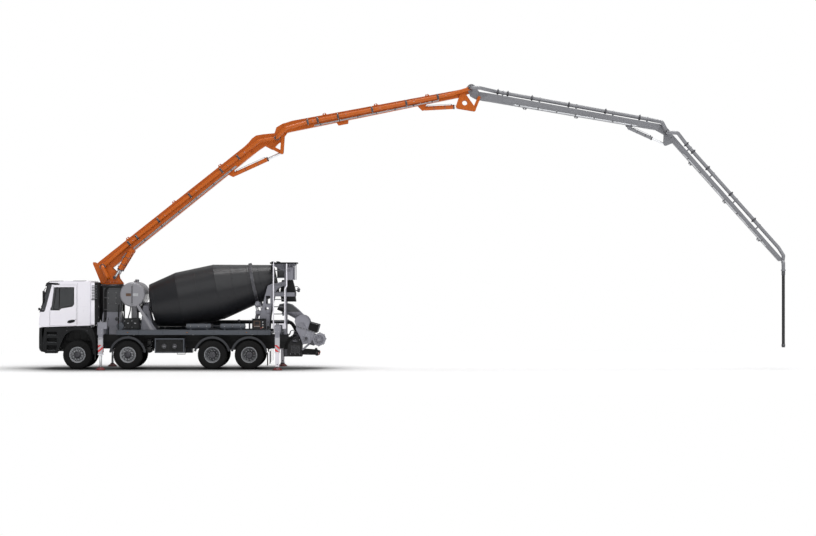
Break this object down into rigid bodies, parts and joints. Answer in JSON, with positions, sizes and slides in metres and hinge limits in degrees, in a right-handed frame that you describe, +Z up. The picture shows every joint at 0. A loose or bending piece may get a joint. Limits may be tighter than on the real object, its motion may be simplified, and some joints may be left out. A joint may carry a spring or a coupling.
{
  "type": "concrete pump truck",
  "caption": "Four-axle truck with a concrete mixer drum, rear pump and four-section placing boom, standing on its outriggers.",
  "frame": {"origin": "on the ground, midway between the front of the cab and the tip of the boom", "axes": "+X from the cab towards the boom tip, +Y to the vehicle's right side, +Z up"},
  "size_m": [27.8204, 4.5098, 10.6591],
  "materials": {
    "white_paint": "satin",
    "dark_plastic": "satin",
    "frame_paint": "satin",
    "grey_paint": "satin",
    "charcoal_paint": "satin",
    "orange_paint": "satin",
    "silver_paint": "satin",
    "glass": "gloss",
    "interior": "matte",
    "cast_iron": "rough",
    "rubber": "matte",
    "chrome": "gloss",
    "tyre": "matte"
  },
  "bodies": {
    "chassis": {"chassis_frame": "frame_paint", "axles": "cast_iron", "engine_block": "cast_iron", "subframe": "grey_paint", "pedestal": "charcoal_paint", "water_tank": "grey_paint", "drum_stands": "grey_paint", "rear_platform": "grey_paint", "pump_hopper": "grey_paint", "concrete_pump": "cast_iron", "mudguards": "dark_plastic", "equipment_boxes": "charcoal_paint", "front_bumper": "dark_plastic"},
    "cab": {"cab_shell": "white_paint", "cab_glass": "glass", "cab_interior": "interior", "cab_trim": "dark_plastic"},
    "door_left": {"door_left": "white_paint"},
    "door_right": {"door_right": "white_paint"},
    "mixer_drum": {"mixer_drum": "charcoal_paint"},
    "turret": {"turret": "orange_paint"},
    "boom_1": {"boom_1": "orange_paint"},
    "boom_2": {"boom_2": "orange_paint"},
    "boom_3": {"boom_3": "silver_paint"},
    "boom_4": {"boom_4": "silver_paint"},
    "lift_cylinder": {"lift_cylinder": "orange_paint"},
    "lift_rod": {"lift_rod": "chrome"},
    "fold_2_cylinder": {"fold_2_cylinder": "orange_paint"},
    "fold_2_rod": {"fold_2_rod": "chrome"},
    "fold_3_cylinder": {"fold_3_cylinder": "orange_paint"},
    "fold_3_rod": {"fold_3_rod": "chrome"},
    "fold_4_cylinder": {"fold_4_cylinder": "silver_paint"},
    "fold_4_rod": {"fold_4_rod": "chrome"},
    "lever_2": {"lever_2": "orange_paint"},
    "link_2": {"link_2": "orange_paint"},
    "lever_3": {"lever_3": "orange_paint"},
    "link_3": {"link_3": "silver_paint"},
    "discharge_chute": {"discharge_chute": "grey_paint"},
    "hose_elbow": {"hose_elbow": "silver_paint", "end_hose": "rubber"},
    "knuckle_1l": {"knuckle_1l": "cast_iron"},
    "wheel_1l": {"wheel_1l": "tyre"},
    "knuckle_1r": {"knuckle_1r": "cast_iron"},
    "wheel_1r": {"wheel_1r": "tyre"},
    "knuckle_2l": {"knuckle_2l": "cast_iron"},
    "wheel_2l": {"wheel_2l": "tyre"},
    "knuckle_2r": {"knuckle_2r": "cast_iron"},
    "wheel_2r": {"wheel_2r": "tyre"},
    "wheel_3l": {"wheel_3l": "tyre"},
    "wheel_3r": {"wheel_3r": "tyre"},
    "wheel_4l": {"wheel_4l": "tyre"},
    "wheel_4r": {"wheel_4r": "tyre"},
    "outrigger_beam_front_l": {"outrigger_beam_front_l": "grey_paint"},
    "outrigger_leg_front_l": {"outrigger_leg_front_l": "chrome"},
    "outrigger_beam_front_r": {"outrigger_beam_front_r": "grey_paint"},
    "outrigger_leg_front_r": {"outrigger_leg_front_r": "chrome"},
    "outrigger_beam_rear_l": {"outrigger_beam_rear_l": "grey_paint"},
    "outrigger_leg_rear_l": {"outrigger_leg_rear_l": "chrome"},
    "outrigger_beam_rear_r": {"outrigger_beam_rear_r": "grey_paint"},
    "outrigger_leg_rear_r": {"outrigger_leg_rear_r": "chrome"}
  },
  "joints": [
    {"name": "steer_1l", "type": "hinge", "parent": "chassis", "child": "knuckle_1l", "pos_m": [-12.47, -0.85, 0.54], "axis": [0, 0, 1], "range_deg": [-38, 38]},
    {"name": "steer_1r", "type": "hinge", "parent": "chassis", "child": "knuckle_1r", "pos_m": [-12.47, 0.85, 0.54], "axis": [0, 0, 1], "range_deg": [-39.72, 39.72]},
    {"name": "steer_2l", "type": "hinge", "parent": "chassis", "child": "knuckle_2l", "pos_m": [-10.6, -0.85, 0.54], "axis": [0, 0, 1], "range_deg": [-25.89, 25.89]},
    {"name": "steer_2r", "type": "hinge", "parent": "chassis", "child": "knuckle_2r", "pos_m": [-10.6, 0.85, 0.54], "axis": [0, 0, 1], "range_deg": [-25.89, 25.89]},
    {"name": "wheel_spin_1l", "type": "hinge", "parent": "knuckle_1l", "child": "wheel_1l", "pos_m": [-12.47, -1.035, 0.538], "axis": [0, 1, 0], "continuous": true},
    {"name": "wheel_spin_1r", "type": "hinge", "parent": "knuckle_1r", "child": "wheel_1r", "pos_m": [-12.47, 1.035, 0.538], "axis": [0, 1, 0], "continuous": true},
    {"name": "wheel_spin_2l", "type": "hinge", "parent": "knuckle_2l", "child": "wheel_2l", "pos_m": [-10.6, -1.035, 0.538], "axis": [0, 1, 0], "continuous": true},
    {"name": "wheel_spin_2r", "type": "hinge", "parent": "knuckle_2r", "child": "wheel_2r", "pos_m": [-10.6, 1.035, 0.538], "axis": [0, 1, 0], "continuous": true},
    {"name": "wheel_spin_3l", "type": "hinge", "parent": "chassis", "child": "wheel_3l", "pos_m": [-7.47, -0.91, 0.538], "axis": [0, 1, 0], "continuous": true},
    {"name": "wheel_spin_3r", "type": "hinge", "parent": "chassis", "child": "wheel_3r", "pos_m": [-7.47, 0.91, 0.538], "axis": [0, 1, 0], "continuous": true},
    {"name": "wheel_spin_4l", "type": "hinge", "parent": "chassis", "child": "wheel_4l", "pos_m": [-6.1, -0.91, 0.538], "axis": [0, 1, 0], "continuous": true},
    {"name": "wheel_spin_4r", "type": "hinge", "parent": "chassis", "child": "wheel_4r", "pos_m": [-6.1, 0.91, 0.538], "axis": [0, 1, 0], "continuous": true},
    {"name": "cab_tilt", "type": "hinge", "parent": "chassis", "child": "cab", "pos_m": [-13.78, 0, 1.41], "axis": [0, -1, 0], "range_deg": [0, 60]},
    {"name": "door_left_hinge", "type": "hinge", "parent": "cab", "child": "door_left", "pos_m": [-13.468, -1.248, 1.8], "axis": [0, 0, -1], "range_deg": [0, 75]},
    {"name": "door_right_hinge", "type": "hinge", "parent": "cab", "child": "door_right", "pos_m": [-13.468, 1.248, 1.8], "axis": [0, 0, 1], "range_deg": [0, 75]},
    {"name": "drum_spin", "type": "hinge", "parent": "chassis", "child": "mixer_drum", "pos_m": [-7.3, 0, 2.869], "axis": [0.9781, 0, 0.2079], "continuous": true},
    {"name": "chute_swivel", "type": "hinge", "parent": "chassis", "child": "discharge_chute", "pos_m": [-4.86, 0, 2.13], "axis": [0, 0, 1], "range_deg": [-25, 25]},
    {"name": "slew", "type": "hinge", "parent": "chassis", "child": "turret", "pos_m": [-11.28, 0, 3.14], "axis": [0, 0, 1], "range_deg": [-185, 185]},
    {"name": "boom_lift", "type": "hinge", "parent": "turret", "child": "boom_1", "pos_m": [-11.62, 0, 3.805], "axis": [0, -1, 0], "range_deg": [-24.5, 48.5]},
    {"name": "boom_fold_2", "type": "hinge", "parent": "boom_1", "child": "boom_2", "pos_m": [-5.10072, 0, 8.62901], "axis": [0, 1, 0], "range_deg": [-22.1, 78]},
    {"name": "boom_fold_3", "type": "hinge", "parent": "boom_2", "child": "boom_3", "pos_m": [2.16365, 0, 10.49419], "axis": [0, -1, 0], "range_deg": [-5, 120]},
    {"name": "boom_fold_4", "type": "hinge", "parent": "boom_3", "child": "boom_4", "pos_m": [9.50653, 0, 8.82593], "axis": [0, 1, 0], "range_deg": [-35.5, 60]},
    {"name": "hose_elbow_swing", "type": "hinge", "parent": "boom_4", "child": "hose_elbow", "pos_m": [13.83052, -0.2, 3.97278], "axis": [0, -1, 0], "range_deg": [-28, 130]},
    {"name": "lift_cylinder_swing", "type": "hinge", "parent": "boom_1", "child": "lift_cylinder", "pos_m": [-10.56615, 0, 4.39821], "axis": [0, -1, 0], "range_deg": [-8.52, 4.52]},
    {"name": "lift_rod_slide", "type": "slide", "parent": "lift_cylinder", "child": "lift_rod", "axis": [-0.5195, 0, -0.8545], "range_m": [-0.248, 0.475]},
    {"name": "fold_2_cylinder_swing", "type": "hinge", "parent": "boom_1", "child": "fold_2_cylinder", "pos_m": [-6.76865, 0, 7.25175], "axis": [0, 1, 0], "range_deg": [-1.07, 3.07]},
    {"name": "fold_2_rod_slide", "type": "slide", "parent": "fold_2_cylinder", "child": "fold_2_rod", "axis": [0.9098, 0, 0.4151], "range_m": [-0.373, 0.114]},
    {"name": "fold_3_cylinder_swing", "type": "hinge", "parent": "boom_2", "child": "fold_3_cylinder", "pos_m": [0.34746, 0, 9.73878], "axis": [0, -1, 0], "range_deg": [-0.29, 1.72]},
    {"name": "fold_3_rod_slide", "type": "slide", "parent": "fold_3_cylinder", "child": "fold_3_rod", "axis": [0.9985, 0, 0.0539], "range_m": [-0.042, 0.662]},
    {"name": "fold_4_cylinder_swing", "type": "hinge", "parent": "boom_3", "child": "fold_4_cylinder", "pos_m": [8.08787, 0, 9.00467], "axis": [0, -1, 0], "range_deg": [-1.1, 1.69]},
    {"name": "fold_4_rod_slide", "type": "slide", "parent": "fold_4_cylinder", "child": "fold_4_rod", "axis": [0.9105, 0, -0.4134], "range_m": [-0.446, 0.271]},
    {"name": "lever_2_swing", "type": "hinge", "parent": "boom_1", "child": "lever_2", "pos_m": [-5.26311, 0, 8.26005], "axis": [0, 1, 0], "range_deg": [-18.99, 62.59]},
    {"name": "link_2_swing", "type": "hinge", "parent": "boom_2", "child": "link_2", "pos_m": [-4.89511, 0, 8.75304], "axis": [0, -1, 0], "range_deg": [-15.83, 52.09]},
    {"name": "lever_3_swing", "type": "hinge", "parent": "boom_2", "child": "lever_3", "pos_m": [1.82662, 0, 10.32506], "axis": [0, -1, 0], "range_deg": [-4.64, 72.78]},
    {"name": "link_3_swing", "type": "hinge", "parent": "lever_3", "child": "link_3", "pos_m": [2.26857, 0, 9.70757], "axis": [0, 1, 0], "range_deg": [-1.98, 29.34]},
    {"name": "outrigger_beam_front_l_slide", "type": "slide", "parent": "chassis", "child": "outrigger_beam_front_l", "axis": [0, 1, 0], "range_m": [0, 0.62]},
    {"name": "outrigger_leg_front_l_slide", "type": "slide", "parent": "outrigger_beam_front_l", "child": "outrigger_leg_front_l", "axis": [0, 0, 1], "range_m": [0, 0.35]},
    {"name": "outrigger_beam_front_r_slide", "type": "slide", "parent": "chassis", "child": "outrigger_beam_front_r", "axis": [0, -1, 0], "range_m": [0, 0.62]},
    {"name": "outrigger_leg_front_r_slide", "type": "slide", "parent": "outrigger_beam_front_r", "child": "outrigger_leg_front_r", "axis": [0, 0, 1], "range_m": [0, 0.35]},
    {"name": "outrigger_beam_rear_l_slide", "type": "slide", "parent": "chassis", "child": "outrigger_beam_rear_l", "axis": [0, 1, 0], "range_m": [0, 0.62]},
    {"name": "outrigger_leg_rear_l_slide", "type": "slide", "parent": "outrigger_beam_rear_l", "child": "outrigger_leg_rear_l", "axis": [0, 0, 1], "range_m": [0, 0.35]},
    {"name": "outrigger_beam_rear_r_slide", "type": "slide", "parent": "chassis", "child": "outrigger_beam_rear_r", "axis": [0, -1, 0], "range_m": [0, 0.62]},
    {"name": "outrigger_leg_rear_r_slide", "type": "slide", "parent": "outrigger_beam_rear_r", "child": "outrigger_leg_rear_r", "axis": [0, 0, 1], "range_m": [0, 0.35]}
  ],
  "couplings": [
    {"joint": "steer_1r", "follows": "steer_1l", "ratio": 1},
    {"joint": "steer_2l", "follows": "steer_1l", "ratio": 0.65},
    {"joint": "steer_2r", "follows": "steer_1l", "ratio": 0.65},
    {"joint": "lift_cylinder_swing", "follows": "boom_lift", "ratio": -0.1666},
    {"joint": "lift_rod_slide", "follows": "boom_lift", "m_per_rad": 0.5422},
    {"joint": "fold_2_cylinder_swing", "follows": "boom_fold_2", "ratio": 0.0359},
    {"joint": "fold_2_rod_slide", "follows": "boom_fold_2", "m_per_rad": -0.2656},
    {"joint": "fold_3_cylinder_swing", "follows": "boom_fold_3", "ratio": 0.0124},
    {"joint": "fold_3_rod_slide", "follows": "boom_fold_3", "m_per_rad": 0.3088},
    {"joint": "fold_4_cylinder_swing", "follows": "boom_fold_4", "ratio": 0.024},
    {"joint": "fold_4_rod_slide", "follows": "boom_fold_4", "m_per_rad": -0.4113},
    {"joint": "lever_2_swing", "follows": "boom_fold_2", "ratio": 0.7798},
    {"joint": "link_2_swing", "follows": "boom_fold_2", "ratio": 0.6486},
    {"joint": "lever_3_swing", "follows": "boom_fold_3", "ratio": 0.5925},
    {"joint": "link_3_swing", "follows": "boom_fold_3", "ratio": 0.2379}
  ]
}
